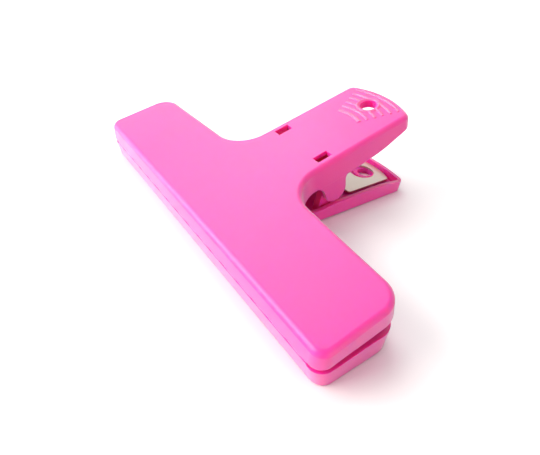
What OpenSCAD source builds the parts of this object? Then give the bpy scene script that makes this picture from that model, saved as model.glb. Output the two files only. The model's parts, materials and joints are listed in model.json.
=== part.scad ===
// Spring clamp with two long moulded jaws, two thumb handles and one leaf spring.
// Each jaw and its handle are one T-shaped tray with open inside and rounded outer edges.
// X runs along the lips, Y from the lips to the handle tips, Z up. The clamp lies closed
// on its lower half. The origin is under the middle of the whole clamp.

/* [Jaws] */
// Length of both jaws along the lip
jaw_length = 134; // [110:1:150]
// Depth of a jaw at its middle, from the lip to the line of its rear edge
jaw_depth = 31.4; // [29:0.2:34]
// Height of one jaw at the lip, teeth included
jaw_height = 6.7; // [6:0.1:8]
// Angle between the two jaws when the lips meet
wedge_angle = 11.9; // [11:0.1:13]
// Backward lean of the front face
front_lean = 10.7; // [6:0.1:14]
// Slant of the rear edge towards the ends
rear_slant = 2.8; // [0:0.1:4]
// Plan radius of the two front corners
front_corner_r = 4; // [3.5:0.5:8]
// Plan radius of the two rear corners
rear_corner_r = 7.5; // [5:0.5:9]
// Plan radius of the hollow where the jaw runs into the handle
neck_r = 11.6; // [9:0.2:12]

/* [Handles] */
// Width of both handles
handle_width = 30.6; // [29:0.2:33]
// Outward bend of each handle against its jaw
handle_bend = 2.1; // [1:0.1:3]
// Distance of that bend from the lip
bend_y = 31.3; // [29:0.1:33]
// Reach of the upper handle from the lip to its tip
upper_reach = 88.5; // [87:0.5:92]
// How far the lower handle stands out past the upper one at the tip
lower_extra = 1.5; // [0:0.5:4]
// Greatest depth of the upper handle's skirt, just behind the hinge
upper_skirt_h = 9.3; // [8.8:0.1:9.6]
// Greatest depth of the lower handle's skirt
lower_skirt_h = 6.05; // [5.8:0.05:6.6]
// Radius of the upper handle's round end
upper_tip_r = 32.8; // [26:0.2:40]
// Radius of the lower handle's flatter end
lower_tip_r = 70; // [30:1:90]
// Radius between that end and the handle's sides
tip_corner_r = 3; // [3:0.2:5]

/* [Shell] */
// Wall thickness of the skirts
wall = 1.55; // [1.2:0.05:1.8]
// Thickness of the outer plate
floor_t = 1.7; // [1.4:0.1:2]
// Radius of the upper half's rounded outer edge
upper_edge_r = 1.7; // [1.2:0.1:2]
// Radius of the lower half's outer edge, on the table
lower_edge_r = 0.5; // [0.4:0.1:2]
// Radius where the plate meets the skirt inside
inner_r = 0.8; // [0.5:0.1:1]
// Draft of the skirts
draft = 1.7; // [0.5:0.1:2.5]
// Chamfer on both edges of the rim
rim_chamfer = 0.25; // [0.15:0.05:0.35]
// Number of stiffening ribs across each jaw
jaw_rib_count = 4; // [2:2:6]
// Height of those ribs above the plate
jaw_rib_h = 1.8; // [1:0.1:2.4]

/* [Lip teeth] */
// Distance from one tooth to the next
tooth_pitch = 1.45; // [1.2:0.05:2]
// Height of the teeth over the rim
tooth_h = 0.25; // [0.15:0.05:0.4]
// Plain length left at each end of the lip
tooth_margin = 5.2; // [5:0.2:14]
// Gap left between the lips when the clamp is closed
lip_gap = 0.04; // [0.02:0.01:0.1]

/* [Hinge] */
// Distance of the hinge axis from the lip, along the upper jaw
hinge_y = 50.55; // [49:0.05:52]
// Depth of the hinge axis under the upper jaw's outer face
hinge_drop = 13.45; // [13:0.05:14]
// Radius of the rounded lugs that hang from the upper handle
lug_r = 4.6; // [4.2:0.1:4.8]
// Thickness of each lug
lug_t = 1.8; // [1.5:0.1:2.2]
// Step of each lug inwards from the handle's side
lug_step = 0.6; // [0.4:0.1:0.9]
// Radius of the hollows between a lug and the skirt on both sides of it
lug_hollow_r = 2.5; // [2:0.1:3]
// Radius of the pegs on the lugs
peg_r = 2; // [1.6:0.1:2.4]
// Length of the pegs
peg_l = 3; // [2.4:0.1:3.2]
// Running clearance of the pegs in their sockets, on the radius
peg_clearance = 0.05; // [0.02:0.01:0.1]
// Thickness of the posts that hold the sockets
post_t = 3; // [2.6:0.1:3.4]
// Radius of the round top of the posts
post_r = 4.1; // [3.8:0.1:4.4]
// Side gap between a lug and its post
post_gap = 0.3; // [0.2:0.05:0.4]

/* [Hang hole and grip] */
// Distance of the hang hole from the upper handle's tip
upper_hole_from_tip = 9.5; // [9:0.5:11]
// Distance of the hang hole from the lower handle's tip
lower_hole_from_tip = 8; // [7.6:0.2:10]
// Radius of both hang holes
hole_r = 3.15; // [2.5:0.05:3.3]
// Radius of the low collar around the lower hole, under the spring's plate
collar_r = 4.7; // [4.4:0.1:5]
// Height of that collar over the handle's outer face
collar_h = 2.3; // [2:0.05:2.3]
// Number of raised grip ribs on the upper handle
grip_rib_count = 6; // [3:1:6]
// Distance from one grip rib to the next
grip_pitch = 2.95; // [2.8:0.05:3.1]
// Half of the angle that the grip ribs cover
grip_half_angle = 21.5; // [15:0.5:24]
// Height of the grip ribs and of the ring around the hole
grip_h = 0.4; // [0.2:0.05:0.5]
// Width of a window over a post
window_w = 3.05; // [2:0.05:3.2]
// Length of a window over a post
window_l = 5.7; // [4:0.1:6]
// Distance of the windows' front edges from the lip
window_y = 45.1; // [44.5:0.1:46]
// Distance of the windows' outer edges from the handle's sides
window_edge = 2.8; // [2.6:0.1:3.4]

/* [Leaf spring] */
// Thickness of the spring strip
spring_t = 0.8; // [0.6:0.1:1]
// Half width of the strip between the hinge posts
spring_neck = 6.2; // [4:0.1:8]
// Half width of the two end plates
spring_half_w = 9.3; // [7:0.1:10]
// Radius of the spring's bend, at mid-thickness
spring_bend_r = 3; // [2.2:0.1:3.6]
// Distance of the bend's centre from the lip
spring_bend_y = 49.5; // [48:0.1:51]
// Distance of the end plates' shoulders from the lip
spring_shoulder_y = 64; // [62:0.5:67]
// Height of the end plates' middle over a handle's outer face
spring_seat = 2.75; // [2.75:0.05:3]
// Radius of the end plates' round ends
spring_end_r = 21; // [15:1:30]
// Radius of the wide holes in the end plates
spring_hole_r = 5.1; // [4.5:0.1:5.5]
// Distance of those holes from the lip
spring_hole_y = 79.8; // [78:0.2:80]

/* [Hidden] */
$fn = 64;

half_w = handle_width / 2;
rim_h = jaw_height - tooth_h;
lower_reach = upper_reach + lower_extra;
upper_hole_y = upper_reach - upper_hole_from_tip;
lower_hole_y = lower_reach - lower_hole_from_tip;
overlap = 0.4;                       // sinks added features into the wall they grow from
bead_r = hole_r + 0.85;              // middle of the raised ring around the hang hole
bead_half_w = 0.55;                  // half width of that ring and of the grip ribs
last_rib_half_w = 0.8;               // the grip rib nearest the hinge is broader
first_rib_inset = 0.25;              // shifts the rib pattern in from the tip
jaw_rib_t = 1.2;
tooth_t = 1.1;
tooth_inset = 0.15;                  // from the lip's front edge back to the teeth
lip_end = tooth_margin - 0.2;        // plain length at each end of the lip, past its raised edge
lip_ramp = 0.5;                      // length over which that edge falls to the rim of the corners
peg_chamfer = 0.4;
post_spread = 1.5;                   // the posts widen by this at their feet
spring_tip_gap = 2.1;                // from a handle's tip to its end plate's tip
spring_lap = 0.6;                    // the bent strip runs this far over the end plates

// Depth of a jaw's rim behind its lip: [distance from the lip, depth under the outer face].
upper_jaw_rim = [[0, 6], [5, 5.95], [9, 6.05], [13, 6.35], [20, 6.6], [29, 6.75]];
lower_jaw_rim = [[0, 5.95], [4, 6.4], [8, 6.5], [13, 6.95], [18, 7.2], [28, 7.2]];
// Profile of a handle's skirt: share of the way from the neck to the tip, share of its greatest depth
upper_profile = [[-0.14, 0.87], [0, 0.92], [0.18, 0.98], [0.32, 1], [0.38, 0.99], [0.44, 0.97], [0.5, 0.945],
                 [0.58, 0.925], [0.65, 0.89], [0.72, 0.81], [0.82, 0.69], [0.93, 0.57], [1, 0.56]];
lower_profile = [[-0.08, 0.95], [0.04, 0.81], [0.13, 0.88], [0.21, 0.95], [0.34, 0.975], [0.48, 0.99],
                 [0.69, 1], [0.75, 0.97], [0.81, 0.92], [0.87, 0.85], [0.93, 0.79], [1, 0.8]];

// ---------------------------------------------------------------- plan outline of one half

function rear_line(x) = jaw_depth - x * tan(rear_slant);
function arc(cx, cy, r, a0, a1, n) =
    [for (i = [0:n]) let (a = a0 + (a1 - a0) * i / n) [cx + r * cos(a), cy + r * sin(a)]];
function dropped(list, n = 1) = [for (i = [n:len(list) - 1]) list[i]];

rear_corner_y = rear_line(jaw_length / 2 - rear_corner_r) - rear_corner_r / cos(rear_slant);
neck_x = half_w + neck_r;
neck_y = rear_line(neck_x) + neck_r / cos(rear_slant);

// Depth of a rim under the outer face, against the distance from the lip.
function skirt(jaw_rim, profile, reach, depth) =
    concat(jaw_rim, [for (row = profile) [neck_y + row[0] * (reach - neck_y), row[1] * depth]]);

// Each half: [reach, radius of the round end, radius of the outer edge, depths of its rim].
upper_half = [upper_reach, upper_tip_r, upper_edge_r,
              skirt(upper_jaw_rim, upper_profile, upper_reach, upper_skirt_h)];
lower_half = [lower_reach, lower_tip_r, lower_edge_r,
              skirt(lower_jaw_rim, lower_profile, lower_reach, lower_skirt_h)];
function reach(half) = half[0];
function tip_r(half) = half[1];
function edge_r(half) = half[2];
function rims(half) = half[3];

function tip_angle(half) = acos((half_w - tip_corner_r) / (tip_r(half) - tip_corner_r));
function tip_corner_y(half) =
    reach(half) - tip_r(half) + (tip_r(half) - tip_corner_r) * sin(tip_angle(half));
lip_x = jaw_length / 2 - lip_end;

// Right-hand outline from the lip's end to the tip, set in by d, with its front edge at front.
function outline(d, front, half) = concat(
    [[lip_x, front], [lip_x + lip_ramp, front]],
    arc(jaw_length / 2 - front_corner_r, front + front_corner_r - d, front_corner_r - d, -90, 0, 8),
    [for (row = rims(half)) if (row[0] > front_corner_r + 1 && row[0] < rear_corner_y - 0.5)
        [jaw_length / 2 - d, row[0]]],
    arc(jaw_length / 2 - rear_corner_r, rear_corner_y, rear_corner_r - d, 0, 90 - rear_slant, 10),
    arc(neck_x, neck_y, neck_r + d, 270 - rear_slant, 180, 14),
    [for (row = rims(half)) if (row[0] > neck_y + 1 && row[0] < tip_corner_y(half) - 1) [half_w - d, row[0]]],
    arc(half_w - tip_corner_r, tip_corner_y(half), tip_corner_r - d, 0, tip_angle(half), 5),
    dropped(arc(0, reach(half) - tip_r(half), tip_r(half) - d, tip_angle(half),
                90 - (90 - tip_angle(half)) / 20, 9)));

// ---------------------------------------------------------------- tray-shaped shell

function bend(y) = max(0, y - bend_y) * tan(handle_bend);
function side_inset(t) = (rim_h - t) * tan(draft);
function front_edge(t) = (jaw_height - t) * tan(front_lean);

// A ring of points at depth t, set in by d from the outer wall.
function ring(t, d, front, half) = [for (p = outline(d, front, half)) [p[0], p[1], bend(p[1]) - t]];
// A ring that follows the rim, short of it by back. The lip stands up over the rim of the corners.
function rim_ring(d, back, half) =
    [for (p = outline(d, front_edge(rim_h) + d, half))
        [p[0], p[1], bend(p[1]) - (p[0] > lip_x || p[1] > front_corner_r ? lookup(p[1], rims(half)) : rim_h) + back]];

edge_steps = 6;
function shell_rings(half) = concat(
    [for (i = [0:edge_steps])
        let (a = 90 * i / edge_steps, t = edge_r(half) * (1 - cos(a)), e = edge_r(half) * (1 - sin(a)))
        ring(t, side_inset(t) + e, front_edge(t) + e, half)],
    [rim_ring(0, rim_chamfer, half),
     rim_ring(rim_chamfer, 0, half),
     rim_ring(wall - rim_chamfer, 0, half),
     rim_ring(wall, rim_chamfer, half)],
    [for (a = [0, 45, 90])
        let (t = floor_t + inner_r * (1 - sin(a)), e = wall + inner_r * (1 - cos(a)))
        ring(t, side_inset(t) + e, front_edge(t) + e, half)]);

// Triangles that fill a ring of n points: a fan over the straight lip, then strips from side to side.
fan = 3;
function plate(n) = concat(
    [for (i = [n - fan - 1:n + fan - 2]) [i % n, (i + 1) % n, fan]],
    [for (i = [fan:n / 2 - 2]) for (tri = [[i, i + 1, n - 2 - i], [i, n - 2 - i, n - 1 - i]]) tri]);

function mirrored(ring) = concat(ring, [for (i = [len(ring) - 1:-1:0]) [-ring[i][0], ring[i][1], ring[i][2]]]);

module shell(half) {
    rings = [for (r = shell_rings(half)) mirrored(r)];
    n = len(rings[0]);
    last = len(rings) - 1;
    walls = [for (k = [0:last - 1]) for (j = [0:n - 1])
        let (a = k * n + j, b = k * n + (j + 1) % n, c = b + n, d = a + n)
        for (tri = [[a, b, c], [a, c, d]]) tri];
    outer_plate = [for (tri = plate(n)) [tri[2], tri[1], tri[0]]];
    inner_plate = [for (tri = plate(n)) [for (corner = tri) last * n + corner]];
    polyhedron([for (r = rings) for (p = r) p], concat(walls, outer_plate, inner_plate), convexity = 6);
}

// ---------------------------------------------------------------- places

function turned(p, a) = [p[0], p[1] * cos(a) - p[2] * sin(a), p[1] * sin(a) + p[2] * cos(a)];
function flipped(p) = [p[0], p[1], -p[2]];
function from_upper(p) = turned(p + [0, 0, jaw_height], wedge_angle) + [0, 0, jaw_height + lip_gap];

// The lower half touches the table along its front edge and at its handle's tip.
front_contact = front_edge(0) + lower_edge_r;
tip_contact = lower_reach - lower_edge_r - side_inset(0);
rest_tilt = atan(bend(tip_contact) / (tip_contact - front_contact));
low_z = front_contact * sin(rest_tilt);
laid_points = concat(
    [for (r = shell_rings(upper_half)) for (p = r) turned(from_upper(p), rest_tilt)],
    [for (r = shell_rings(lower_half)) for (p = r) turned(flipped(p), rest_tilt)]);
laid_y = [for (p = laid_points) p[1]];
mid_y = (min(laid_y) + max(laid_y)) / 2;

module laid() translate([0, -mid_y, -low_z]) rotate([rest_tilt, 0, 0]) children();
module upper_place() laid() translate([0, 0, jaw_height + lip_gap]) rotate([wedge_angle, 0, 0])
    translate([0, 0, jaw_height]) children();
module lower_place() laid() mirror([0, 0, 1]) children();
// The plane half-way between the two halves, from the lips backwards.
module middle_place() laid() translate([0, 0, jaw_height + lip_gap / 2])
    rotate([wedge_angle / 2, 0, 0]) children();
module on_handle() translate([0, bend_y, 0]) rotate([handle_bend, 0, 0]) translate([0, -bend_y, 0]) children();
// Turns a flat outline into the YZ plane and gives it thickness along X, from x on.
module across(x, t) translate([x, 0, 0]) rotate([90, 0, 90]) linear_extrude(t) children();
module both_sides() {
    children();
    mirror([1, 0, 0]) children();
}

// ---------------------------------------------------------------- shared details

// A strip of rounded teeth along the lip, rooted in the rim.
module lip_teeth() {
    count = floor((jaw_length - 2 * tooth_margin) / tooth_pitch);
    steps = 4;
    half_l = count * tooth_pitch / 2;
    crests = [for (i = [0:count * steps])
        [i * tooth_pitch / steps - half_l, tooth_h * (1 - abs(sin(180 * i / steps)))]];
    translate([0, tooth_inset + tooth_t, -jaw_height]) rotate([90, 0, 0]) linear_extrude(tooth_t)
        polygon(concat(crests, [[half_l, tooth_h + overlap], [-half_l, tooth_h + overlap]]));
}

// Low ribs across the hollow jaw.
module jaw_ribs() {
    pitch = (jaw_length - 2 * rear_corner_r) / jaw_rib_count;
    for (i = [0:jaw_rib_count - 1]) {
        x = (i - (jaw_rib_count - 1) / 2) * pitch;
        front = front_edge(0) + wall;
        translate([x - jaw_rib_t / 2, front, -floor_t - jaw_rib_h])
            cube([jaw_rib_t, rear_line(abs(x)) - front - wall, jaw_rib_h + overlap]);
    }
}

module hang_hole(y) on_handle() translate([0, y, -collar_h - 1]) cylinder(h = collar_h + 2, r = hole_r);

// ---------------------------------------------------------------- upper half

lug_x = half_w - lug_step - lug_t;

// The hollow between a lug's flank and the skirt's rim; way is 1 behind the lug and -1 before it.
module lug_hollow(way) {
    flank = hinge_y + way * lug_r;
    rim = bend(flank) - lookup(flank + way * lug_hollow_r, rims(upper_half));
    difference() {
        translate([way > 0 ? flank - overlap : flank - lug_hollow_r, rim - lug_hollow_r])
            square([lug_hollow_r + overlap, lug_hollow_r + overlap]);
        translate([flank + way * lug_hollow_r, rim - lug_hollow_r]) circle(lug_hollow_r);
    }
}

module lug_outline() {
    translate([hinge_y, -hinge_drop]) circle(lug_r);
    translate([hinge_y - lug_r, -hinge_drop]) square([2 * lug_r, hinge_drop - floor_t + overlap]);
    lug_hollow(1);
    lug_hollow(-1);
}

module lugs() both_sides() {
    across(lug_x, lug_t) lug_outline();
    translate([lug_x - peg_l, hinge_y, -hinge_drop]) rotate([0, 90, 0]) {
        cylinder(h = peg_chamfer, r1 = peg_r - peg_chamfer, r2 = peg_r);
        translate([0, 0, peg_chamfer]) cylinder(h = peg_l - peg_chamfer + overlap, r = peg_r);
    }
}

module bead(r, half_width) {
    drop = (half_width * half_width - grip_h * grip_h) / (2 * grip_h);
    intersection() {
        translate([r, -drop]) circle(drop + grip_h);
        translate([r - half_width, -overlap]) square([2 * half_width, overlap + grip_h]);
    }
}

module grip() on_handle() {
    translate([0, upper_hole_y, 0]) rotate_extrude() bead(bead_r, bead_half_w);
    difference() {
        translate([0, upper_reach - upper_tip_r, 0]) rotate([0, 0, 90 - grip_half_angle])
            for (i = [1:grip_rib_count])
                rotate_extrude(angle = 2 * grip_half_angle)
                    bead(upper_tip_r - first_rib_inset - i * grip_pitch,
                         i == grip_rib_count ? last_rib_half_w : bead_half_w);
        translate([0, upper_hole_y, -1]) cylinder(h = 2, r = bead_r);
    }
}

module windows() both_sides() on_handle()
    translate([half_w - window_edge - window_w, window_y, -floor_t - 1]) cube([window_w, window_l, floor_t + 2]);

module upper_jaw() {
    color([1.0, 0.45, 0.78]) upper_place() difference() {
        union() {
            shell(upper_half);
            lip_teeth();
            jaw_ribs();
            lugs();
            grip();
        }
        hang_hole(upper_hole_y);
        windows();
    }
}

// ---------------------------------------------------------------- lower half

// Hinge axis seen from the lower half, as [distance from the lip, depth under its outer face].
hinge_low = from_upper([0, hinge_y, -hinge_drop]);
post_x = lug_x - post_gap - post_t;

module posts() both_sides() {
    foot = bend(hinge_low[1]) - floor_t + overlap;
    difference() {
        across(post_x, post_t) {
            translate([hinge_low[1], -hinge_low[2]]) circle(post_r);
            polygon([[hinge_low[1] - post_r, -hinge_low[2]], [hinge_low[1] + post_r, -hinge_low[2]],
                     [hinge_low[1] + post_r + post_spread, foot], [hinge_low[1] - post_r - post_spread, foot]]);
        }
        translate([post_x - 1, hinge_low[1], -hinge_low[2]]) rotate([0, 90, 0])
            cylinder(h = post_t + 2, r = peg_r + peg_clearance);
    }
}

module collar() on_handle() translate([0, lower_hole_y, -collar_h])
    cylinder(h = collar_h - floor_t + overlap, r = collar_r);

module lower_jaw() {
    color([0.96, 0.36, 0.68]) lower_place() difference() {
        union() {
            shell(lower_half);
            lip_teeth();
            jaw_ribs();
            posts();
            collar();
        }
        hang_hole(lower_hole_y);
    }
}

// ---------------------------------------------------------------- spring

// End plate in a handle: straight shoulder, straight sides, round end, wide hole behind the hang hole.
module end_plate(half) {
    tip = reach(half) - spring_tip_gap;
    corner = asin(spring_half_w / spring_end_r);
    translate([0, 0, -spring_seat - spring_t / 2]) linear_extrude(spring_t) difference() {
        polygon(concat([[-spring_half_w, spring_shoulder_y], [spring_half_w, spring_shoulder_y]],
                       arc(0, tip - spring_end_r, spring_end_r, 90 - corner, 90 + corner, 12)));
        translate([0, spring_hole_y]) circle(spring_hole_r);
    }
}

// The bent strip, drawn in the plane half-way between the handles.
module spring_strip() {
    seat = turned(turned([0, spring_shoulder_y + spring_lap - bend_y, -spring_seat], handle_bend)
                  + [0, bend_y, jaw_height], wedge_angle / 2) + [0, 0, lip_gap / 2];
    run = seat[1] - spring_bend_y;
    lean = atan2(seat[2], run) - asin(spring_bend_r / norm([run, seat[2]]));
    side = [-sin(lean), cos(lean)] * spring_t / 2;
    tip = [seat[1], seat[2]];
    outer = concat([tip + side], arc(spring_bend_y, 0, spring_bend_r + spring_t / 2, 90 + lean, 270 - lean, 16),
                   [[tip[0] + side[0], -tip[1] - side[1]]]);
    inner = concat([[tip[0] - side[0], -tip[1] + side[1]]],
                   arc(spring_bend_y, 0, spring_bend_r - spring_t / 2, 270 - lean, 90 + lean, 16),
                   [tip - side]);
    across(-spring_neck, 2 * spring_neck) polygon(concat(outer, inner));
}

module leaf_spring() color([0.78, 0.76, 0.7]) {
    middle_place() spring_strip();
    upper_place() on_handle() end_plate(upper_half);
    lower_place() on_handle() end_plate(lower_half);
}

lower_jaw();
upper_jaw();
leaf_spring();
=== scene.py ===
import json
import math
import bmesh
import bpy
from mathutils import Matrix, Quaternion, Vector


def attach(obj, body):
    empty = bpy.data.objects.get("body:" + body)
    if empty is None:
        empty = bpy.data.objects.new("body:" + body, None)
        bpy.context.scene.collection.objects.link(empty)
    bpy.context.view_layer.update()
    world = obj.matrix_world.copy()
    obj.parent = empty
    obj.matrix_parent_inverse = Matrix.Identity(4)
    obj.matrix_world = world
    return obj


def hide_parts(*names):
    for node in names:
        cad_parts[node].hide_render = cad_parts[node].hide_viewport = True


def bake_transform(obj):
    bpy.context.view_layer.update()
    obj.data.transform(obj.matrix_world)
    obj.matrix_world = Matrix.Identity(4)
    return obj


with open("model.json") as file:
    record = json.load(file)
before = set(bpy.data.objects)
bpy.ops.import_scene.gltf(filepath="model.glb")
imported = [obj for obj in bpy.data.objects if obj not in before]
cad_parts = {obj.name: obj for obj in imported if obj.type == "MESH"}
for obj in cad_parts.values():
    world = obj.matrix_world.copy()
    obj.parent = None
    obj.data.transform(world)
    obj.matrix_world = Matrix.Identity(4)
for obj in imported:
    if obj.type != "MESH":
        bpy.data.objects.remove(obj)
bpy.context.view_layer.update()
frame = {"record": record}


# ---------------------------------------------------------------- camera
# It stands close to the right-hand end of the lips, above the table, and looks down
# along the clamp towards the handles, turned a little about its own axis.

camera_place = Vector((0.10377, -0.09258, 0.09546))
camera_aim = Vector((-0.61584, 0.48752, -0.61892))
camera_roll = math.radians(5.54)

bpy.ops.object.camera_add(location=camera_place)
camera = bpy.context.object
camera.rotation_mode = "QUATERNION"
camera.rotation_quaternion = camera_aim.to_track_quat("-Z", "Y") @ Quaternion((0, 0, 1), camera_roll)
camera.data.sensor_width = 36
camera.data.lens = 29.3
camera.data.clip_start = 0.005
bpy.context.scene.camera = camera
bpy.context.scene.view_settings.view_transform = "Standard"


# ---------------------------------------------------------------- table and light
# A white table top in a dim, even room. A large soft lamp stands low in front on the left,
# another hangs over the handles, and a weaker one fills in from the right.

bpy.ops.mesh.primitive_plane_add(size=4, location=(0, 0, 0))
table = bpy.context.object
table.name = "table_top"


def calculate(tree, operation, first, second):
    """A math node between two outputs of a node tree."""
    node = tree.nodes.new("ShaderNodeMath")
    node.operation = operation
    tree.links.new(first, node.inputs[0])
    tree.links.new(second, node.inputs[1])
    return node.outputs[0]


def spread_over(tree, value, values, results):
    """Turns an output that runs over the first pair of values into one over the second."""
    node = tree.nodes.new("ShaderNodeMapRange")
    node.inputs["From Min"].default_value, node.inputs["From Max"].default_value = values
    node.inputs["To Min"].default_value, node.inputs["To Max"].default_value = results
    tree.links.new(value, node.inputs["Value"])
    return node.outputs["Result"]


# The table glows white to the camera and in reflections, the more so the further it lies from the clamp.
# Where little of the sky reaches it, under and beside the clamp, ambient occlusion dims the glow: a painted
# shade.
table_paint = bpy.data.materials.new("white_table")
table_paint.use_nodes = True
tree = table_paint.node_tree
coat = tree.nodes["Principled BSDF"]
coat.inputs["Base Color"].default_value = (0.86, 0.86, 0.855, 1)
coat.inputs["Roughness"].default_value = 0.75
coat.inputs["Specular IOR Level"].default_value = 0.2
rays = tree.nodes.new("ShaderNodeLightPath")
seen = calculate(tree, "MAXIMUM", rays.outputs["Is Camera Ray"], rays.outputs["Is Glossy Ray"])
seen = calculate(tree, "MAXIMUM", seen, rays.outputs["Is Transmission Ray"])
place = tree.nodes.new("ShaderNodeTexCoord")
distance = tree.nodes.new("ShaderNodeVectorMath")
distance.operation = "LENGTH"
tree.links.new(place.outputs["Object"], distance.inputs[0])
whiter = spread_over(tree, distance.outputs["Value"], (0.15, 0.7), (0.42, 1))
# Painted shade: ambient occlusion near the clamp dims the table's white glow.
under = tree.nodes.new("ShaderNodeAmbientOcclusion")
under.samples = 16
under.inputs["Distance"].default_value = 0.03
painted_sky_shade = spread_over(tree, under.outputs["AO"], (0.35, 1), (0, 1))
lift = tree.nodes.new("ShaderNodeEmission")
lift.inputs["Color"].default_value = (1, 1, 1, 1)
strength = calculate(tree, "MULTIPLY", seen, calculate(tree, "MULTIPLY", whiter, painted_sky_shade))
tree.links.new(strength, lift.inputs["Strength"])
both = tree.nodes.new("ShaderNodeAddShader")
tree.links.new(coat.outputs[0], both.inputs[0])
tree.links.new(lift.outputs[0], both.inputs[1])
tree.links.new(both.outputs[0], tree.nodes["Material Output"].inputs["Surface"])
table.data.materials.append(table_paint)

# The room gives little light, and looks white to the camera and in reflections.
room = bpy.data.worlds.new("pale_room")
bpy.context.scene.world = room
room.use_nodes = True
tree = room.node_tree
rays = tree.nodes.new("ShaderNodeLightPath")
seen = calculate(tree, "MAXIMUM", rays.outputs["Is Camera Ray"], rays.outputs["Is Glossy Ray"])
tree.nodes["Background"].inputs["Color"].default_value = (1, 1, 1, 1)
tree.links.new(spread_over(tree, seen, (0, 1), (0.25, 1)), tree.nodes["Background"].inputs["Strength"])


def soft_lamp(name, place, size, power, colour):
    """A square lamp that faces the clamp."""
    bpy.ops.object.light_add(type="AREA", location=place)
    lamp = bpy.context.object
    lamp.name = name
    lamp.data.size = size
    lamp.data.energy = power
    lamp.data.color = colour
    lamp.rotation_mode = "QUATERNION"
    lamp.rotation_quaternion = (-Vector(place)).to_track_quat("-Z", "Y")


soft_lamp("window_light", (-0.44, -0.70, 0.36), 0.8, 14, (1, 0.97, 0.9))
soft_lamp("top_light", (-0.514, 0.045, 0.737), 0.6, 3.1, (1, 1, 1))
soft_lamp("side_light", (0.873, 0, 0.218), 0.5, 3.0, (1, 0.62, 0.7))


# ---------------------------------------------------------------- lower jaw
# The bottom half: one moulded tray of satin plastic, T-shaped, with its jaw and handle in one
# piece and its rim upwards. Two posts inside hold the hinge sockets. Sizes are in millimetres.
# Both halves are drawn with the outer face up, at z = 0, and the lip along y = 0.

jaw_length = 134
jaw_depth = 31.4
jaw_height = 6.7
front_lean = math.radians(10.7)
rear_slant = math.radians(2.8)
front_corner_r = 4
rear_corner_r = 7.5
neck_r = 11.6
half_w = 15.3
tip_corner_r = 3
bend_y = 31.3
bend = math.radians(2.1)
rim_h = 6.45
wall = 1.6
inner_r = 0.8
rim_round = 0.22
draft_inset = 0.19
hole_r = 3.15
lip_x = 62
lip_ramp = 0.5
tooth_pitch = 1.45
tooth_h = 0.25
tooth_count = 85
upper_reach = 88.5
lower_reach = 90
lower_tip_r = 70
lower_edge_r = 0.5
lower_hole_y = 82
lower_collar_r = 4.7
lower_collar_depth = 2.3

# The plan of the outer face, which the draft keeps a little inside that of the rim.
plan_side = half_w - draft_inset
plan_front = (rim_h + tooth_h) * math.tan(front_lean)
plan_end = jaw_length / 2 - draft_inset
neck_line = jaw_depth - draft_inset - plan_side * math.tan(rear_slant)
rear_end = neck_line - (plan_end - plan_side) * math.tan(rear_slant)

# Depth of the rim under the outer face, against the distance from the lip.
lower_rim = [(0, 5.95), (4, 6.4), (8, 6.5), (13, 6.95), (18, 7.2), (28, 7.2), (37.8, 5.75), (43.6, 4.9),
             (48, 5.32), (51.8, 5.75), (58.1, 5.9), (64.9, 5.99), (75, 6.05), (77.9, 5.87), (80.8, 5.57),
             (83.7, 5.14), (86.6, 4.78), (90, 4.84)]


def grains(tree, per_metre, detail):
    """Noise that is fixed to the piece, with its grains per metre along each axis."""
    place = tree.nodes.new("ShaderNodeTexCoord")
    spread = tree.nodes.new("ShaderNodeMapping")
    spread.inputs["Scale"].default_value = per_metre
    tree.links.new(place.outputs["Object"], spread.inputs["Vector"])
    noise = tree.nodes.new("ShaderNodeTexNoise")
    noise.inputs["Scale"].default_value = 1
    noise.inputs["Detail"].default_value = detail
    tree.links.new(spread.outputs["Vector"], noise.inputs["Vector"])
    return noise.outputs["Fac"]


def vary(tree, noise, dark, pale, rough):
    """Lets noise carry the colour and the roughness of the main shader between two values each."""
    body = tree.nodes["Principled BSDF"]
    tone = tree.nodes.new("ShaderNodeMix")
    tone.data_type = "RGBA"
    tone.inputs["A"].default_value = (*dark, 1)
    tone.inputs["B"].default_value = (*pale, 1)
    tree.links.new(noise, tone.inputs["Factor"])
    tree.links.new(tone.outputs["Result"], body.inputs["Base Color"])
    tree.links.new(spread_over(tree, noise, (0, 1), rough), body.inputs["Roughness"])


def roughen(tree, noise, strength, depth):
    """Lets noise raise the surface a little."""
    bump = tree.nodes.new("ShaderNodeBump")
    bump.inputs["Strength"].default_value = strength
    bump.inputs["Distance"].default_value = depth
    tree.links.new(noise, bump.inputs["Height"])
    tree.links.new(bump.outputs["Normal"], tree.nodes["Principled BSDF"].inputs["Normal"])


def satin_plastic(name, colour, roughness, sheen):
    """Moulded satin plastic that lets some light in, with a fine grain and a soft sheen."""
    paint = bpy.data.materials.new(name)
    paint.use_nodes = True
    tree = paint.node_tree
    body = tree.nodes["Principled BSDF"]
    body.inputs["Specular IOR Level"].default_value = 0.5
    body.inputs["IOR"].default_value = 1.5
    body.inputs["Subsurface Weight"].default_value = 1
    body.inputs["Subsurface Radius"].default_value = (1, 0.12, 0.3)
    body.inputs["Subsurface Scale"].default_value = 0.003
    body.inputs["Sheen Weight"].default_value = sheen
    body.inputs["Sheen Roughness"].default_value = 0.4
    darker = [c * 0.97 for c in colour]
    paler = [min(1, c * 1.03) for c in colour]
    vary(tree, grains(tree, (60, 60, 60), 3), darker, paler, (roughness - 0.04, roughness + 0.04))
    roughen(tree, grains(tree, (4200, 4200, 4200), 2), 0.12, 0.00004)
    return paint


# The mould's grain leaves the outside matt. The inside is plain. The grip's ribs and ring have the mould's
# polish, and their paler pink is a painted highlight.
pink = (1.0, 0.03, 0.41)
outside = satin_plastic("pink_plastic", pink, 0.33, 0.9)
inside = satin_plastic("pink_plastic_inside", pink, 0.45, 0)
polish_and_painted_highlight = satin_plastic("pink_plastic_polish_painted_highlight", (1.0, 0.15, 0.42), 0.25, 0.6)
paints = [outside, inside, polish_and_painted_highlight]


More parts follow.
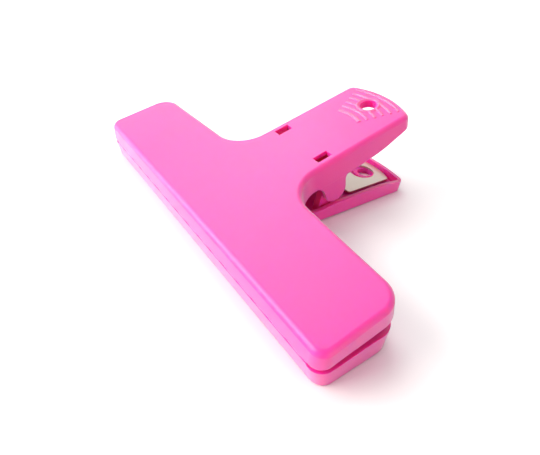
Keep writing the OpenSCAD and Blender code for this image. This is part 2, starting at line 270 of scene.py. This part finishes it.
def pick(kind, test):
    """In edit mode, selects the corners, edges or faces that pass the test."""
    bpy.ops.mesh.select_mode(type=kind)
    bpy.ops.mesh.select_all(action="DESELECT")
    shape = bmesh.from_edit_mesh(bpy.context.object.data)
    parts = {"VERT": shape.verts, "EDGE": shape.edges, "FACE": shape.faces}[kind]
    for part in parts:
        if test(part):
            part.select_set(True)
    shape.select_flush_mode()
    bmesh.update_edit_mesh(bpy.context.object.data)


def near(a, b):
    """Whether two lengths are the same to a hundredth of a millimetre."""
    return abs(a - b) < 0.01


def middle(edge):
    """The middle of an edge."""
    return (edge.verts[0].co + edge.verts[1].co) / 2


def crosswise(edge):
    """Whether an edge lies in a plane across the length of the jaw."""
    return near(edge.verts[0].co.x, edge.verts[1].co.x)


def move(x, y, z):
    """Moves what is selected."""
    bpy.ops.transform.translate(value=(x, y, z))


def extrude_edges(x, y, z):
    """Draws faces out of the selected edges."""
    bpy.ops.mesh.extrude_edges_move(TRANSFORM_OT_translate={"value": (x, y, z)})


def extrude_all(x, y, z):
    """Draws the whole flat mesh out into a solid."""
    bpy.ops.mesh.select_all(action="SELECT")
    bpy.ops.mesh.extrude_region_move(TRANSFORM_OT_translate={"value": (x, y, z)})


def merge_faces():
    """Makes one face of the whole flat mesh."""
    bpy.ops.mesh.select_all(action="SELECT")
    bpy.ops.mesh.dissolve_faces()


def lean_back():
    """Leans what is selected as the handle leans, from a line just behind the jaw."""
    bpy.ops.transform.rotate(value=-bend, orient_axis="X", center_override=(0, bend_y, 0))


def cut(place, facing, clear=False):
    """Cuts the whole mesh with a plane, and clears what lies on the side that the plane faces."""
    bpy.ops.mesh.select_all(action="SELECT")
    bpy.ops.mesh.bisect(plane_co=place, plane_no=facing, clear_outer=clear)


def round_corners(slide, steps):
    """Rounds the plan corners that are selected."""
    bpy.ops.mesh.bevel(offset=slide, affect="VERTICES", segments=steps)


def round_edges(amount, steps):
    """Rounds the edges that are selected."""
    bpy.ops.mesh.bevel(offset=amount, affect="EDGES", segments=steps)


def open_piece(name):
    """Settles the new primitive in place and opens it in edit mode."""
    bpy.ops.object.transform_apply()
    bpy.context.object.name = name
    bpy.ops.object.mode_set(mode="EDIT")
    return bpy.context.object


def close_piece():
    """Points the faces outwards and leaves edit mode."""
    bpy.ops.mesh.select_all(action="SELECT")
    bpy.ops.mesh.normals_make_consistent(inside=False)
    bpy.ops.object.mode_set(mode="OBJECT")
    return bpy.context.object


def add_box(name, low, high):
    """A box between two corners, open in edit mode."""
    bpy.ops.object.select_all(action="DESELECT")
    size = [b - a for a, b in zip(low, high)]
    centre = [(a + b) / 2 for a, b in zip(low, high)]
    bpy.ops.mesh.primitive_cube_add(size=1, location=centre, scale=size)
    return open_piece(name)


def add_disc(name, radius, place, turn, corners):
    """A flat disc, open in edit mode."""
    bpy.ops.object.select_all(action="DESELECT")
    bpy.ops.mesh.primitive_circle_add(vertices=corners, radius=radius, fill_type="NGON",
                                      location=place, rotation=turn)
    return open_piece(name)


def add_cylinder(name, radius, depth, place, turn, corners):
    """A cylinder, open in edit mode."""
    bpy.ops.object.select_all(action="DESELECT")
    bpy.ops.mesh.primitive_cylinder_add(vertices=corners, radius=radius, depth=depth,
                                        location=place, rotation=turn)
    return open_piece(name)


def combine(body, tool, how):
    """Joins the tool to the body, or cuts it out, and puts the tool away."""
    bpy.ops.object.select_all(action="DESELECT")
    bpy.context.view_layer.objects.active = body
    body.select_set(True)
    step = body.modifiers.new("combine", "BOOLEAN")
    step.operation = how
    step.solver = "EXACT"
    step.object = tool
    bpy.ops.object.modifier_apply(modifier="combine")
    bpy.data.objects.remove(tool)


def in_paint(tool, paint):
    """Gives the tool a jaw's materials, with all its faces in one of them."""
    for each in paints:
        tool.data.materials.append(each)
    for face in tool.data.polygons:
        face.material_index = paints.index(paint)
    return tool


def on_handle(x, y, z):
    """A place on the bent handle, given along it from the lip and up from its outer face."""
    along = y - bend_y
    return (x, bend_y + along * math.cos(bend) - z * math.sin(bend),
            along * math.sin(bend) + z * math.cos(bend))


def smooth_depth(table, y):
    """Reads a rim's depth at y from its table, along a smooth curve through the rows."""
    y = min(max(y, table[0][0]), table[-1][0])
    i = max(k for k in range(len(table) - 1) if table[k][0] <= y)
    y0, d0 = table[i]
    y1, d1 = table[i + 1]

    def slope(k):
        if k == 0 or k == len(table) - 1:
            return 0
        before = (table[k][1] - table[k - 1][1]) / (table[k][0] - table[k - 1][0])
        after = (table[k + 1][1] - table[k][1]) / (table[k + 1][0] - table[k][0])
        if before * after <= 0:
            return 0
        return 2 * before * after / (before + after)

    t = (y - y0) / (y1 - y0)
    run = y1 - y0
    return ((2 * t ** 3 - 3 * t ** 2 + 1) * d0 + (t ** 3 - 2 * t ** 2 + t) * run * slope(i)
            + (3 * t ** 2 - 2 * t ** 3) * d1 + (t ** 3 - t ** 2) * run * slope(i + 1))


def rise(y):
    """Height of the bent handle's outer face over the plane of the jaw."""
    return max(0, y - bend_y) * math.tan(bend)


def draw_plan(name, reach, tip_r, rim):
    """The outer face of a half, still flat, and the y of its handle's corners."""
    # The round end of the handle comes from a disc, cut to width. It ends a little short, as
    # the bend leans its rim backwards.
    end_r = tip_r - draft_inset
    end_y = reach - tip_r - smooth_depth(rim, reach) * math.sin(bend)
    shell = add_disc(name, end_r, (0, end_y, 0), (0, 0, 0), 160)
    shell.data.materials.append(outside)
    shell.data.materials.append(inside)
    cut((plan_side, 0, 0), (1, 0, 0), clear=True)
    cut((-plan_side, 0, 0), (-1, 0, 0), clear=True)
    cut((0, neck_line, 0), (0, -1, 0), clear=True)

    # The jaw is drawn out of its front edge, first forwards, then to both ends.
    pick("EDGE", lambda e: near(middle(e).y, neck_line))
    extrude_edges(0, plan_front - neck_line, 0)
    for way in (-1, 1):
        pick("EDGE", lambda e: near(middle(e).x, way * plan_side) and middle(e).y < neck_line - 1)
        extrude_edges(way * (plan_end - plan_side), 0, 0)
    pick("VERT", lambda v: near(abs(v.co.x), plan_end) and near(v.co.y, neck_line))
    move(0, rear_end - neck_line, 0)
    merge_faces()

    slant_slide = math.tan((math.pi / 2 - rear_slant) / 2)
    tip_turn = math.asin(plan_side / end_r)
    tip_corner_y = end_y + end_r * math.cos(tip_turn)
    tip_slide = (tip_corner_r - draft_inset) * math.tan((math.pi / 2 - tip_turn) / 2)
    pick("VERT", lambda v: near(abs(v.co.x), plan_end) and near(v.co.y, plan_front))
    round_corners(front_corner_r - draft_inset, 10)
    pick("VERT", lambda v: near(abs(v.co.x), plan_end) and near(v.co.y, rear_end))
    round_corners((rear_corner_r - draft_inset) * slant_slide, 12)
    pick("VERT", lambda v: near(abs(v.co.x), plan_side) and near(v.co.y, neck_line))
    round_corners((neck_r + draft_inset) * slant_slide, 16)

    # The corners of the round end take the place of the end's own last points.
    pick("VERT", lambda v: abs(v.co.x) < plan_side - 0.01
         and math.hypot(abs(v.co.x) - plan_side, v.co.y - tip_corner_y) < tip_slide + 0.1)
    bpy.ops.mesh.dissolve_verts()
    pick("VERT", lambda v: near(abs(v.co.x), plan_side) and v.co.y > tip_corner_y - 0.1)
    round_corners(tip_slide, 6)
    return shell, tip_corner_y


def raise_walls(rim, tip_corner_y):
    """Draws the walls out of the outer face, down to the rim, with their lean and their draft."""
    # Cuts across the jaw's ends and the handle give the rim places to curve.
    jaw_rows = [5.5 + 2.9 * i for i in range(6)]
    first_row = neck_line + neck_r + 1
    last_row = tip_corner_y - 2.5
    handle_rows = [first_row + (last_row - first_row) * i / 19 for i in range(20)]
    for row in jaw_rows + handle_rows:
        cut((0, row, 0), (0, 1, 0))
    for x in (-lip_x - lip_ramp, -lip_x, lip_x, lip_x + lip_ramp):
        pick("FACE", lambda f: f.calc_center_median().y < jaw_rows[0])
        bpy.ops.mesh.bisect(plane_co=(x, 0, 0), plane_no=(1, 0, 0))

    bpy.ops.mesh.select_all(action="SELECT")
    bpy.ops.mesh.normals_make_consistent(inside=False)
    pick("EDGE", lambda e: e.is_boundary)
    extrude_edges(0, 0, -rim_h)

    # The lip keeps its height, and stands up over the rim of the corners.
    shape = bmesh.from_edit_mesh(bpy.context.object.data)
    for row in sorted({round(v.co.y, 3) for v in shape.verts}):
        pick("VERT", lambda v: abs(v.co.y - row) < 0.002 and v.is_boundary
             and (row > plan_front + 0.01 or abs(v.co.x) > lip_x + 0.01))
        move(0, 0, rim_h - smooth_depth(rim, row))
    pick("VERT", lambda v: v.is_boundary and v.co.y < plan_front + front_corner_r)
    move(0, draft_inset - rim_h * math.tan(front_lean), 0)
    bpy.ops.mesh.select_all(action="SELECT")
    bpy.ops.mesh.normals_make_consistent(inside=False)
    pick("VERT", lambda v: v.is_boundary)
    bpy.ops.transform.shrink_fatten(value=draft_inset)


def corner_of(edge, low, high):
    """Whether an edge joins a wall to a face whose normal's z is between low and high."""
    flat, upright = sorted(edge.link_faces, key=lambda f: -abs(f.normal.z))
    return low < flat.normal.z < high and abs(upright.normal.z) < 0.3


def tray(name, reach, tip_r, edge_r, rim):
    """The hollow T-shaped half, open underneath, with rounded edges and corners."""
    shell, tip_corner_y = draw_plan(name, reach, tip_r, rim)
    raise_walls(rim, tip_corner_y)
    bpy.ops.object.mode_set(mode="OBJECT")
    shell.modifiers.new("wall", "SOLIDIFY")
    shell.modifiers["wall"].thickness = wall
    shell.modifiers["wall"].offset = -1
    shell.modifiers["wall"].use_even_offset = True
    shell.modifiers["wall"].material_offset = paints.index(inside)
    bpy.ops.object.modifier_apply(modifier="wall")
    bpy.ops.object.mode_set(mode="EDIT")
    pick("VERT", lambda v: -1.3 * wall < v.co.z < -0.7 * wall)
    bpy.ops.transform.resize(value=(1, 1, 0), center_override=(0, 0, -wall))

    # A large round outside, a small one inside, and the smallest along both edges of the rim.
    for low, high, near_plate, amount, steps in (
            (0.9, 1.1, True, edge_r, 8), (-1.1, -0.9, True, inner_r, 4), (-1.1, -0.5, False, rim_round, 2)):
        pick("EDGE", lambda e: corner_of(e, low, high) and (middle(e).z > -2.5) == near_plate)
        round_edges(amount, steps)

    cut((0, bend_y, 0), (0, 1, 0))
    pick("VERT", lambda v: v.co.y > bend_y + 0.01)
    lean_back()
    bpy.ops.object.mode_set(mode="OBJECT")
    return shell


def add_lip_teeth(half):
    """A strip of small rounded teeth along the rim of the lip."""
    row = tooth_count * tooth_pitch / 2
    add_box("lip_teeth", (-row, 0.15, -rim_h), (row, 1.25, -rim_h + 0.5))
    pick("EDGE", lambda e: near(middle(e).x, 0))
    steps = 6
    bpy.ops.mesh.subdivide(number_cuts=tooth_count * steps - 1)
    for step in range(1, steps):
        pick("VERT", lambda v: near(v.co.z, -rim_h)
             and round((v.co.x + row) * steps / tooth_pitch) % steps == step)
        move(0, 0, -tooth_h * math.sin(math.pi * step / steps))
    combine(half, close_piece(), "UNION")


def add_jaw_ribs(half):
    """Four low ribs across the hollow jaw."""
    count = 4
    half_t = 0.6
    depth = 3.5
    pitch = (jaw_length - 2 * rear_corner_r) / count
    for i in range(count):
        x = (i - (count - 1) / 2) * pitch
        rear = jaw_depth - abs(x) * math.tan(rear_slant) - 1
        add_box("jaw_rib", (x - half_t, 2.2, -depth), (x + half_t, rear, -1))
        pick("EDGE", lambda e: near(middle(e).z, -depth))
        round_edges(0.25, 2)
        combine(half, close_piece(), "UNION")


def add_hang_hole(half, hole_y, collar_r, collar_depth):
    """The hang hole, through the handle's plate and the low collar inside."""
    root = 0.5
    add_cylinder("hole_collar", collar_r, collar_depth - root,
                 on_handle(0, hole_y, -(collar_depth + root) / 2), (bend, 0, 0), 64)
    combine(half, in_paint(close_piece(), inside), "UNION")
    add_cylinder("hang_hole", hole_r, 8, on_handle(0, hole_y, 0), (bend, 0, 0), 64)
    combine(half, in_paint(close_piece(), inside), "DIFFERENCE")


lower_jaw = tray("bottom_jaw", lower_reach, lower_tip_r, lower_edge_r, lower_rim)
add_lip_teeth(lower_jaw)
add_jaw_ribs(lower_jaw)
add_hang_hole(lower_jaw, lower_hole_y, lower_collar_r, lower_collar_depth)

# The hinge lies at hinge_y and hinge_depth in the top half's drawing. The bottom half mirrors the
# top one about the plane between them, which slopes at the splay against both.
splay = math.radians(5.95)
hinge_y = 50.55
hinge_depth = 13.45
lip_gap = 0.04
hinge_drop = hinge_depth - jaw_height
post_y = hinge_y * math.cos(2 * splay) + hinge_drop * math.sin(2 * splay)
post_depth = jaw_height + lip_gap + hinge_y * math.sin(2 * splay) - hinge_drop * math.cos(2 * splay)

# The posts: round at the top, wider at the foot, each with a socket for a peg.
post_x = 9.6
post_t = 3
post_r = 4.1
post_root = 0.6
post_flare = 1.5
socket_r = 2.05
across = (0, math.pi / 2, 0)

for way in (-1, 1):
    add_disc("hinge_post", post_r, (way * post_x, post_y, -post_depth), across, 48)
    cut((0, 0, -post_depth), (0, 0, 1), clear=True)
    pick("EDGE", lambda e: near(middle(e).z, -post_depth))
    extrude_edges(0, 0, post_depth - post_root)
    for side in (-1, 1):
        pick("VERT", lambda v: near(v.co.z, -post_root) and (v.co.y - post_y) * side > 0)
        move(0, side * post_flare, 0)
    merge_faces()
    extrude_all(way * post_t, 0, 0)
    pick("EDGE", crosswise)
    round_edges(0.25, 2)
    combine(lower_jaw, close_piece(), "UNION")

add_cylinder("sockets", socket_r, 2 * (post_x + post_t + 1), (0, post_y, -post_depth), across, 48)
combine(lower_jaw, close_piece(), "DIFFERENCE")


def hang_hole(mount):
    """The middle, the axis and the length of a hang hole."""
    found = next(m for m in frame["record"]["mounts"] if m["name"] == mount)
    return Vector(found["pos_m"]), Vector(found["axis"]).normalized(), found["dims"]["length_mm"]


def seat(piece, mount, hole_y):
    """Brings a half from its drawing, in millimetres, to its place in the clamp, by its hang hole."""
    centre, axis, length = hang_hole(mount)
    outer = centre + axis * length / 2000
    along_jaw = Vector((math.copysign(1, axis.z), 0, 0))
    turn = Matrix((along_jaw, axis.cross(along_jaw), axis)).transposed().to_4x4()
    unbend = (Matrix.Translation((0, bend_y - hole_y, 0)) @ Matrix.Rotation(-bend, 4, "X")
              @ Matrix.Translation((0, -bend_y, 0)))
    piece.matrix_world = Matrix.Translation(outer) @ turn @ Matrix.Scale(0.001, 4) @ unbend
    bpy.ops.object.select_all(action="DESELECT")
    piece.select_set(True)
    bpy.context.view_layer.objects.active = piece
    bpy.ops.object.transform_apply()


def smooth(piece, limit):
    """Smooths the shading of the rounds and keeps the flat faces flat."""
    bpy.ops.object.select_all(action="DESELECT")
    piece.select_set(True)
    bpy.context.view_layer.objects.active = piece
    bpy.ops.object.shade_smooth_by_angle(angle=math.radians(limit))
    piece.modifiers.new("shading", "WEIGHTED_NORMAL")
    piece.modifiers["shading"].keep_sharp = True
    bpy.ops.object.modifier_apply(modifier="shading")


seat(lower_jaw, "lower_hang_hole", lower_hole_y)
smooth(lower_jaw, 32)
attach(lower_jaw, "lower_half")
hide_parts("lower_jaw")


# ---------------------------------------------------------------- leaf spring
# One strip of plated spring steel, bent double round the hinge, with an end plate that lies in
# each handle. A wide hole in each plate leaves the hang holes free.

spring_t = 0.8
spring_neck = 6.2
spring_half_w = 9.3
spring_bend_r = 3
spring_bend_y = 49.5
shoulder_y = 64
spring_seat = 2.75
spring_end_r = 21
spring_hole_r = 5.1
spring_hole_y = 79.8
spring_tip_gap = 2.1
shoulder_r = 1
fold_r = 0.9


def on_mid_plane(y, z):
    """Where a place on the upper handle lies against the plane half-way between the halves."""
    along, up = on_handle(0, y, z)[1:]
    up += jaw_height
    return (along * math.cos(splay) - up * math.sin(splay),
            along * math.sin(splay) + up * math.cos(splay))


seat_y, seat_z = on_mid_plane(shoulder_y, -spring_seat)
run = seat_y - spring_bend_y
lean = math.atan2(seat_z, run) - math.asin(spring_bend_r / math.hypot(run, seat_z))
touch_y = spring_bend_y - spring_bend_r * math.sin(lean)
touch_z = spring_bend_r * math.cos(lean)
plate_tilt = splay + bend


def end_plate(reach, way):
    """The outline of an end plate, tilted with its handle; way is 1 above and -1 below."""
    tip_y = seat_y + reach - spring_tip_gap - shoulder_y
    add_disc("end_plate", spring_end_r, (0, tip_y - spring_end_r, way * seat_z), (0, 0, 0), 96)
    for side in (-1, 1):
        cut((side * spring_half_w, 0, 0), (side, 0, 0), clear=True)
    cut((0, seat_y, 0), (0, -1, 0), clear=True)
    for side in (-1, 1):
        pick("VERT", lambda v: near(v.co.x, side * spring_half_w))
        round_corners(shoulder_r, 5)
    for side in (-1, 1):
        cut((side * spring_neck, 0, 0), (side, 0, 0))
    bpy.ops.mesh.select_all(action="SELECT")
    bpy.ops.transform.rotate(value=-way * plate_tilt, orient_axis="X",
                             center_override=(0, seat_y, way * seat_z))
    bpy.ops.object.mode_set(mode="OBJECT")
    return bpy.context.object


lower_plate = end_plate(lower_reach, -1)
spring = end_plate(upper_reach, 1)
spring.name = "bent_spring"
bpy.ops.object.select_all(action="DESELECT")
lower_plate.select_set(True)
spring.select_set(True)
bpy.context.view_layer.objects.active = spring
bpy.ops.object.join()

bpy.ops.object.mode_set(mode="EDIT")
pick("EDGE", lambda e: near(middle(e).x, 0) and near(middle(e).y, seat_y) and near(middle(e).z, seat_z))
extrude_edges(0, touch_y - seat_y, touch_z - seat_z)
bpy.ops.mesh.spin(steps=16, angle=2 * lean - math.pi, center=(0, spring_bend_y, 0), axis=(1, 0, 0))
extrude_edges(0, seat_y - touch_y, touch_z - seat_z)
bpy.ops.mesh.select_all(action="SELECT")
bpy.ops.mesh.remove_doubles(threshold=0.01)
pick("EDGE", lambda e: near(middle(e).x, 0) and near(middle(e).y, seat_y))
round_edges(fold_r, 5)
close_piece()

spring.modifiers.new("thickness", "SOLIDIFY")
spring.modifiers["thickness"].thickness = spring_t
spring.modifiers["thickness"].offset = 0
bpy.ops.object.modifier_apply(modifier="thickness")
for way in (-1, 1):
    along = spring_hole_y - shoulder_y
    centre = (0, seat_y + along * math.cos(plate_tilt), way * (seat_z + along * math.sin(plate_tilt)))
    add_cylinder("plate_hole", spring_hole_r, 4, centre, (way * plate_tilt, 0, 0), 64)
    combine(spring, close_piece(), "DIFFERENCE")
spring.modifiers.new("edges", "BEVEL")
spring.modifiers["edges"].width = 0.1
spring.modifiers["edges"].segments = 2
spring.modifiers["edges"].limit_method = "ANGLE"
spring.modifiers["edges"].angle_limit = math.radians(50)
bpy.ops.object.modifier_apply(modifier="edges")

# Plated steel, finely brushed along the strip.
steel = bpy.data.materials.new("plated_steel")
steel.use_nodes = True
tree = steel.node_tree
tree.nodes["Principled BSDF"].inputs["Metallic"].default_value = 0.9
brushing = grains(tree, (9000, 260, 260), 4)
vary(tree, brushing, (0.60, 0.53, 0.46), (0.68, 0.60, 0.53), (0.3, 0.42))
roughen(tree, brushing, 0.15, 0.00002)
spring.data.materials.clear()
spring.data.materials.append(steel)


def slope_of(axis):
    """The slope of a handle, from the axis of its hang hole."""
    upright = axis * math.copysign(1, axis.z)
    return math.atan2(-upright.y, upright.z)


# The strip is drawn about the plane between the halves, and the upper hang hole brings it home.
upper_hole_y = 79
upper_hole, upper_axis, hole_length = hang_hole("upper_hang_hole")
lower_axis = hang_hole("lower_hang_hole")[1]
mid_slope = (slope_of(upper_axis) + slope_of(lower_axis)) / 2
mid_turn = Matrix.Rotation(mid_slope, 4, "X")
hole_along, hole_up = on_mid_plane(upper_hole_y, -hole_length / 2)
mid_place = (Matrix.Translation(upper_hole) @ mid_turn @ Matrix.Scale(0.001, 4)
             @ Matrix.Translation((0, -hole_along, -hole_up)))
spring.matrix_world = mid_place
bpy.ops.object.transform_apply()
smooth(spring, 35)
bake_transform(spring)
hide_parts("leaf_spring")


# ---------------------------------------------------------------- upper jaw
# The top half, moulded like the bottom one with its rim downwards. Its lugs reach down outside
# the posts and their pegs snap into the sockets. It also has the windows and the thumb grip.

upper_tip_r = 32.8
upper_edge_r = 1.7
upper_collar_r = 4.2
upper_collar_depth = 2.9
upper_rim = [(0, 6), (5, 5.95), (9, 6.05), (13, 6.35), (20, 6.6), (29, 6.75), (35.1, 8.09), (41.7, 8.56),
             (50.1, 9.11), (56.7, 9.3), (59.5, 9.21), (62.3, 9.02), (65.1, 8.79), (68.8, 8.6), (72.1, 8.28),
             (75.4, 7.53), (80.1, 6.42), (85.2, 5.3), (88.5, 5.21)]
upper_jaw = tray("top_jaw", upper_reach, upper_tip_r, upper_edge_r, upper_rim)
upper_jaw.data.materials.append(polish_and_painted_highlight)
add_lip_teeth(upper_jaw)
add_jaw_ribs(upper_jaw)

# Two rounded lugs hang from the handle, a step in from its sides, and each carries a peg. They
# run into the rim in a small hollow behind and a large one in front.
lug_r = 4.6
lug_t = 1.8
lug_x = 12.9
lug_root = 1.3
rear_hollow_r = 2.5
front_hollow_r = 6
front_step = 0.03
peg_r = 2
peg_l = 3
peg_root = 0.4
front_flank = hinge_y - lug_r
rear_flank = hinge_y + lug_r
front_rim = rise(front_flank) - smooth_depth(upper_rim, front_flank - rear_hollow_r)
rear_rim = rise(rear_flank) - smooth_depth(upper_rim, rear_flank + rear_hollow_r)

# The large hollow's circle touches the rim and the round of the lug, which it meets at meet_z.
hollow_z = front_rim - front_hollow_r
hollow_y = hinge_y - math.sqrt((lug_r + front_hollow_r) ** 2 - (hollow_z + hinge_depth) ** 2)
meet_z = hollow_z - (hollow_z + hinge_depth) * front_hollow_r / (lug_r + front_hollow_r)


def add_lug(way):
    """A lug, with the same small hollow on both sides."""
    bpy.ops.object.select_all(action="DESELECT")
    bpy.ops.mesh.primitive_plane_add(size=1, location=(way * lug_x, hinge_y, 0.3 - lug_root), rotation=across)
    bpy.context.object.scale = (0.6, 2 * (lug_r + rear_hollow_r + 0.4), 1)
    open_piece("hinge_lug")
    cut((0, front_flank, 0), (0, 1, 0))
    cut((0, rear_flank, 0), (0, 1, 0))
    pick("EDGE", lambda e: near(middle(e).z, -lug_root))
    extrude_edges(0, 0, lug_root + front_rim)
    pick("VERT", lambda v: near(v.co.z, front_rim) and v.co.y > hinge_y)
    move(0, 0, rear_rim - front_rim)
    pick("EDGE", lambda e: middle(e).z < -5 and near(middle(e).y, hinge_y))
    extrude_edges(0, 0, -hinge_depth - lug_r - (front_rim + rear_rim) / 2)
    pick("VERT", lambda v: v.co.z < -hinge_depth)
    bpy.ops.transform.resize(value=(1, 1, 0))
    merge_faces()
    pick("VERT", lambda v: v.co.z < -hinge_depth)
    round_corners(lug_r - 0.01, 16)
    pick("VERT", lambda v: near(v.co.z, front_rim) and near(v.co.y, front_flank)
         or near(v.co.z, rear_rim) and near(v.co.y, rear_flank))
    round_corners(rear_hollow_r, 10)
    extrude_all(way * lug_t, 0, 0)
    pick("EDGE", crosswise)
    round_edges(0.2, 2)
    combine(upper_jaw, close_piece(), "UNION")


def add_front_hollow(way):
    """Fills the corner in front of a lug, up to the large hollow."""
    sides = sorted((way * (lug_x + front_step), way * (lug_x + lug_t - front_step)))
    add_box("lug_gusset", (sides[0], hollow_y, meet_z), (sides[1], front_flank + 1.5, front_rim + 1))
    gusset = close_piece()
    add_cylinder("front_hollow", front_hollow_r, 8, (way * lug_x, hollow_y, hollow_z), across, 96)
    combine(gusset, close_piece(), "DIFFERENCE")
    combine(upper_jaw, gusset, "UNION")


def add_peg(way):
    """The peg on the inner side of a lug."""
    peg_middle = way * (lug_x - (peg_l - peg_root) / 2)
    add_cylinder("hinge_peg", peg_r, peg_l + peg_root, (peg_middle, hinge_y, -hinge_depth), across, 48)
    pick("EDGE", lambda e: crosswise(e) and abs(middle(e).x) < lug_x - 1)
    round_edges(0.4, 3)
    combine(upper_jaw, close_piece(), "UNION")


for way in (-1, 1):
    add_lug(way)
    add_front_hollow(way)
    add_peg(way)

# A window over each post, with its upper edges broken.
window_w = 3.05
window_l = 5.7
window_y = 45.1
window_edge = 2.8
edge_break = 0.16
edge_flare = 4.8 * edge_break

for way in (-1, 1):
    centre = on_handle(way * (half_w - window_edge - window_w / 2), window_y + window_l / 2, -1)
    bpy.ops.object.select_all(action="DESELECT")
    bpy.ops.mesh.primitive_cube_add(size=1, location=centre, rotation=(bend, 0, 0),
                                    scale=(window_w, window_l, 4))
    open_piece("window")
    cut(on_handle(0, window_y + window_l / 2, -edge_break), (0, -math.sin(bend), math.cos(bend)))
    pick("VERT", lambda v: v.co.z > centre[2] + 1.5)
    bpy.ops.transform.resize(value=(1 + edge_flare / window_w, 1 + edge_flare / window_l, 1))
    combine(upper_jaw, in_paint(close_piece(), inside), "DIFFERENCE")

# The thumb grip: curved ribs about the tip's own centre, and a ring around the hang hole. The
# last rib, furthest from the tip, is the broadest.
grip_h = 0.4
bead_half_w = 0.55
bead_r = hole_r + 0.85
rib_count = 6
rib_pitch = 2.95
rib_inset = 0.25
rib_half_angle = math.radians(21.5)
rib_sink = 0.13
broad_half_w = 0.8
grip_y = upper_reach - upper_tip_r

for i in range(1, rib_count + 1):
    half_width = broad_half_w if i == rib_count else bead_half_w
    rib_r = upper_tip_r - rib_inset - i * rib_pitch
    start = (rib_r * math.sin(rib_half_angle), grip_y + rib_r * math.cos(rib_half_angle), -rib_sink)
    bpy.ops.object.select_all(action="DESELECT")
    bpy.ops.mesh.primitive_circle_add(vertices=16, radius=half_width, location=start,
                                      rotation=(math.pi / 2, 0, math.pi / 2 - rib_half_angle))
    bpy.context.object.scale = (1, (grip_h + rib_sink) / half_width, 1)
    open_piece("grip_rib")
    bpy.ops.mesh.spin(steps=20, angle=-2 * rib_half_angle, center=(0, grip_y, 0), axis=(0, 0, 1))
    for side in (-1, 1):
        pick("EDGE", lambda e: e.is_boundary and middle(e).x * side > 0)
        bpy.ops.mesh.edge_face_add()
    bpy.ops.mesh.select_all(action="SELECT")
    lean_back()
    rib = close_piece()
    add_cylinder("ring_space", bead_r + 0.08, 6, on_handle(0, upper_hole_y, 0), (bend, 0, 0), 48)
    combine(rib, close_piece(), "DIFFERENCE")
    # The ribs take the paler pink, a painted highlight.
    combine(upper_jaw, in_paint(rib, polish_and_painted_highlight), "UNION")

ring_round = (bead_half_w ** 2 + grip_h ** 2) / (2 * grip_h)
bpy.ops.object.select_all(action="DESELECT")
bpy.ops.mesh.primitive_torus_add(major_radius=bead_r, minor_radius=ring_round,
                                 major_segments=64, minor_segments=16, rotation=(bend, 0, 0),
                                 location=on_handle(0, upper_hole_y, grip_h - ring_round))
open_piece("hole_ring")
# The ring takes the same paler pink, a painted highlight.
combine(upper_jaw, in_paint(close_piece(), polish_and_painted_highlight), "UNION")
add_hang_hole(upper_jaw, upper_hole_y, upper_collar_r, upper_collar_depth)
seat(upper_jaw, "upper_hang_hole", upper_hole_y)
smooth(upper_jaw, 32)
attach(upper_jaw, "upper_half")
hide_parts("upper_jaw")
